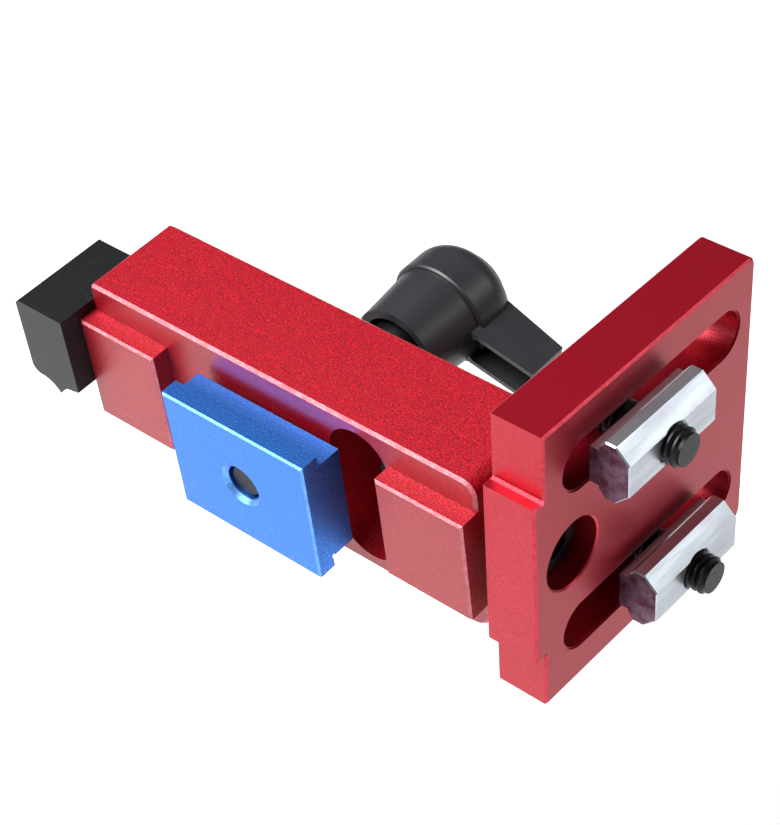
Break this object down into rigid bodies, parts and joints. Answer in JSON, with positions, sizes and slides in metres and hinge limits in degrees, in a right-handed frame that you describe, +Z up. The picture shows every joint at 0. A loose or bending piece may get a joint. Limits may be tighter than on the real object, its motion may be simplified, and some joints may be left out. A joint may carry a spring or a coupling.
{
  "type": "fence clamp jig",
  "caption": "Bar clamp bracket for a fence rail: slotted end plate with slot nuts, swivelling bar with raised pads, sliding clamp key, stop foot and clamp lever.",
  "frame": {"origin": "on the end plate's outer face, midway between its two slots", "axes": "+X out of the end plate's outer face towards the rail, +Y along the slots towards the lever side, +Z up across the slots"},
  "size_m": [0.1057, 0.0572, 0.05],
  "materials": {
    "red_plate": "satin red anodising over a fine bead-blasted surface",
    "red_bar": "satin red anodising over a fine bead-blasted surface",
    "blue_key": "satin blue anodising over a fine bead-blasted surface",
    "foot_black": "matt black anodising",
    "black_oxide": "black oxide, slightly oily",
    "steel_spacer": "turned steel",
    "zinc_washer": "bright zinc",
    "insert_steel": "dark blackened steel",
    "lever_black": "black glass-filled nylon with a satin skin",
    "cap_black": "black plastic",
    "retainer_steel": "plain steel",
    "spring_steel": "spring steel wire",
    "zinc_nut": "bright zinc with a faint bluish tone"
  },
  "bodies": {
    "plate": {"end_plate": "red_plate"},
    "bar": {"bar": "red_bar", "foot_block": "foot_black", "foot_screws": "black_oxide", "plate_screw": "black_oxide", "plate_spacer": "steel_spacer", "thrust_washer": "zinc_washer"},
    "spindle": {"lever_insert": "insert_steel", "clamp_stud": "black_oxide", "lever_cap_screw": "retainer_steel", "lever_spring": "spring_steel"},
    "key": {"key_block": "blue_key"},
    "handle": {"lever_handle": "lever_black", "lever_cap": "cap_black"},
    "carriage_upper": {"tnut_washer_upper": "zinc_washer"},
    "screw_upper": {"tnut_screw_upper": "black_oxide"},
    "nut_upper": {"tnut_upper": "zinc_nut"},
    "carriage_lower": {"tnut_washer_lower": "zinc_washer"},
    "screw_lower": {"tnut_screw_lower": "black_oxide"},
    "nut_lower": {"tnut_lower": "zinc_nut"}
  },
  "joints": [
    {"name": "bar_swivel", "type": "hinge", "parent": "plate", "child": "bar", "pos_m": [-0.01, -0.0183, 0], "axis": [1, 0, 0], "range_deg": [-93.8, 86.2]},
    {"name": "lever_turn", "type": "hinge", "parent": "bar", "child": "spindle", "pos_m": [-0.0487, -0.02429, -0.00331], "axis": [0, 0.9978, 0.0663], "range_deg": [-360, 1080]},
    {"name": "key_travel", "type": "slide", "parent": "bar", "child": "key", "axis": [0, 0.9978, 0.0663], "range_m": [-0.003, 0.001]},
    {"name": "handle_lift", "type": "slide", "parent": "spindle", "child": "handle", "axis": [0, 0.9978, 0.0663], "range_m": [0, 0.0032], "stiffness_N_per_m": 400, "springref_m": -0.0005, "deforming": ["lever_spring"]},
    {"name": "carriage_upper_slide", "type": "slide", "parent": "plate", "child": "carriage_upper", "axis": [0, 1, 0], "range_m": [-0.0115, 0.0231]},
    {"name": "screw_upper_turn", "type": "hinge", "parent": "carriage_upper", "child": "screw_upper", "pos_m": [0, -0.0058, 0.015], "axis": [1, 0, 0], "range_deg": [-720, 270]},
    {"name": "nut_upper_travel", "type": "slide", "parent": "carriage_upper", "child": "nut_upper", "axis": [1, 0, 0], "range_m": [-0.00075, 0.002]},
    {"name": "carriage_lower_slide", "type": "slide", "parent": "plate", "child": "carriage_lower", "axis": [0, 1, 0], "range_m": [-0.0194, 0.0152]},
    {"name": "screw_lower_turn", "type": "hinge", "parent": "carriage_lower", "child": "screw_lower", "pos_m": [0, 0.0021, -0.015], "axis": [1, 0, 0], "range_deg": [-1080, 0]},
    {"name": "nut_lower_travel", "type": "slide", "parent": "carriage_lower", "child": "nut_lower", "axis": [1, 0, 0], "range_m": [0, 0.003]}
  ],
  "couplings": [
    {"joint": "lever_turn", "follows": "key_travel", "rad_per_m": -6283.2},
    {"joint": "screw_upper_turn", "follows": "nut_upper_travel", "rad_per_m": -6283.2},
    {"joint": "screw_lower_turn", "follows": "nut_lower_travel", "rad_per_m": -6283.2}
  ]
}
